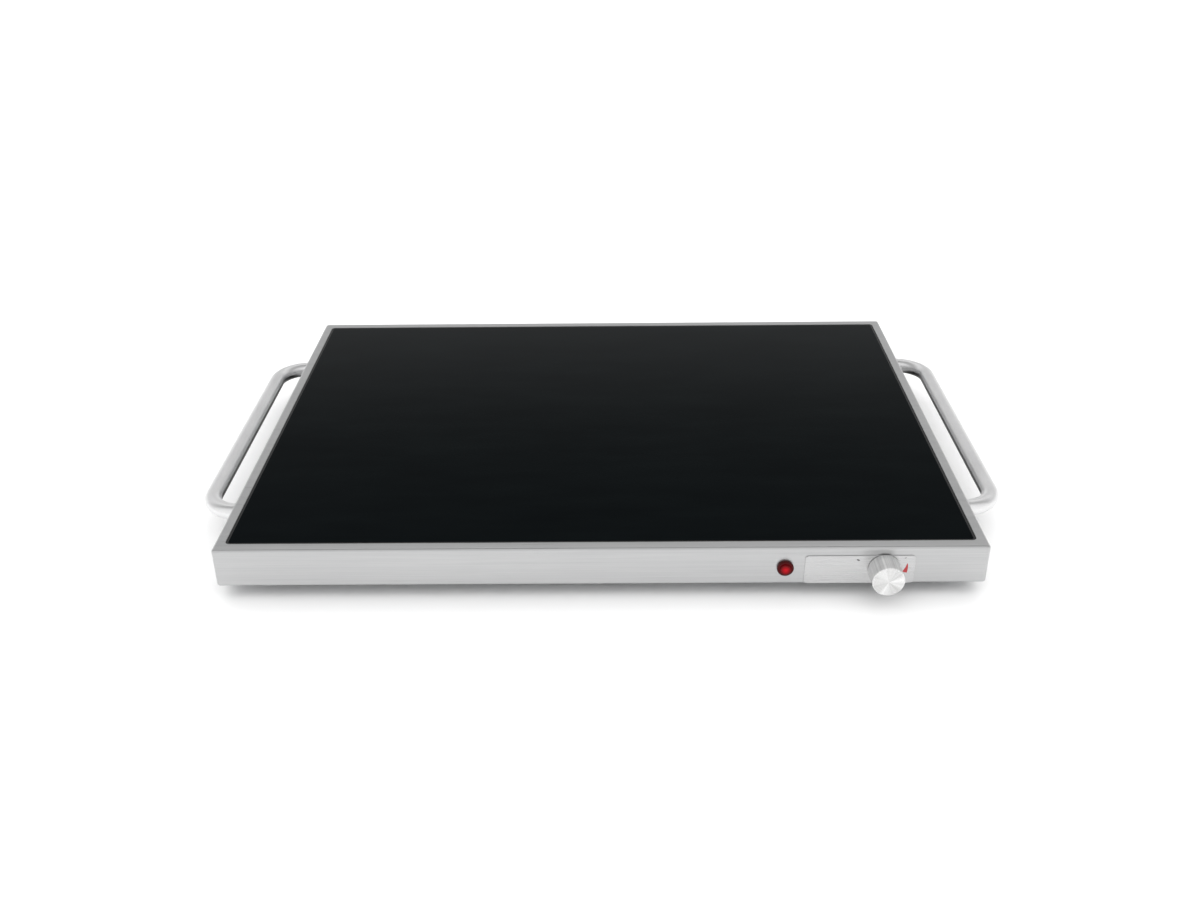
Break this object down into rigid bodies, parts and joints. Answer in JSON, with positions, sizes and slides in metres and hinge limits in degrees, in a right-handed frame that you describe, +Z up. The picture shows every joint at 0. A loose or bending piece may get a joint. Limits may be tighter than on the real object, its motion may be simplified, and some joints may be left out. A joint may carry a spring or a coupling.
{
  "type": "electric warming tray",
  "caption": "Flat electric food warming tray: black glass plate in a folded stainless frame, D-shaped side handles, front thermostat knob and indicator lamp, rear mains inlet.",
  "frame": {"origin": "middle of the overall box at the table, under the feet", "axes": "+X to the right seen from the front, +Y to the back, +Z up out of the glass"},
  "size_m": [0.6732, 0.4724, 0.046],
  "materials": {
    "stainless_frame": "brushed stainless steel",
    "stainless_tube": "satin stainless steel tube",
    "panel_metal": "fine brushed metal",
    "knob_metal": "turned aluminium with a spun face",
    "black_glass": "black ceramic glass, polished",
    "seal_silicone": "black silicone",
    "spreader_aluminium": "mill finish",
    "element_sheath": "heat-tinted steel sheath",
    "ceramic": "white steatite",
    "mineral_wool": "mineral wool",
    "reflector_steel": "bright aluminised steel",
    "galvanised_steel": "galvanised sheet",
    "zinc_steel": "zinc-plated steel",
    "black_rubber": "moulded rubber",
    "lens_red": "clear red lens",
    "white_nylon": "moulded nylon",
    "black_plastic": "moulded thermoplastic",
    "bulb_glass": "clear glass",
    "terminal_brass": "plated brass",
    "copper": "bare copper",
    "wire_silicone": "silicone insulation"
  },
  "bodies": {
    "tray": {"housing_frame": "stainless_frame", "glass_top": "black_glass", "glass_seal": "seal_silicone", "glass_ledge": "stainless_frame", "heat_spreader_plate": "spreader_aluminium", "plate_support_posts": "zinc_steel", "heating_element": "element_sheath", "element_end_beads": "ceramic", "element_terminal_pins": "zinc_steel", "element_clips": "galvanised_steel", "sensing_bulb": "copper", "bulb_clips": "galvanised_steel", "insulation_blanket": "mineral_wool", "reflector_tray": "reflector_steel", "base_plate": "galvanised_steel", "base_screws": "zinc_steel", "foot_front_left": "black_rubber", "foot_rear_left": "black_rubber", "foot_front_right": "black_rubber", "foot_rear_right": "black_rubber", "foot_screws": "zinc_steel", "foot_washers": "zinc_steel", "foot_nuts": "zinc_steel", "handle_left": "stainless_tube", "handle_right": "stainless_tube", "handle_plugs": "zinc_steel", "handle_screws": "zinc_steel", "handle_washers": "zinc_steel", "control_plate": "panel_metal", "thermostat_case": "zinc_steel", "bush_nut": "zinc_steel", "diaphragm_capsule": "copper", "contact_leaf": "copper", "thermostat_base": "ceramic", "thermostat_tabs": "terminal_brass", "thermal_cutout": "black_plastic", "cutout_tabs": "terminal_brass", "indicator_lens": "lens_red", "indicator_body": "white_nylon", "neon_bulb": "bulb_glass", "indicator_nut": "zinc_steel", "mains_inlet": "black_plastic", "inlet_pins": "terminal_brass", "inlet_screws": "zinc_steel", "inlet_nuts": "zinc_steel", "earth_tag": "terminal_brass", "earth_nut": "zinc_steel", "wire_live": "wire_silicone", "wire_neutral": "wire_silicone", "wire_cutout": "wire_silicone", "wire_switched": "wire_silicone", "wire_earth": "wire_silicone", "lamp_leads": "wire_silicone", "capillary_tube": "copper"},
    "knob": {"knob": "knob_metal", "knob_insert": "black_plastic", "knob_spring": "zinc_steel", "thermostat_spindle": "zinc_steel"},
    "adjuster": {"adjuster_nut": "terminal_brass"}
  },
  "joints": [
    {"name": "knob_turn", "type": "hinge", "parent": "tray", "child": "knob", "pos_m": [0.2192, -0.21625, 0.027], "axis": [0, 1, 0], "range_deg": [0, 270]},
    {"name": "adjuster_slide", "type": "slide", "parent": "tray", "child": "adjuster", "axis": [0, 1, 0], "range_m": [-0.00115, 0]}
  ],
  "couplings": [
    {"joint": "adjuster_slide", "follows": "knob_turn", "m_per_rad": -0.00023873}
  ]
}
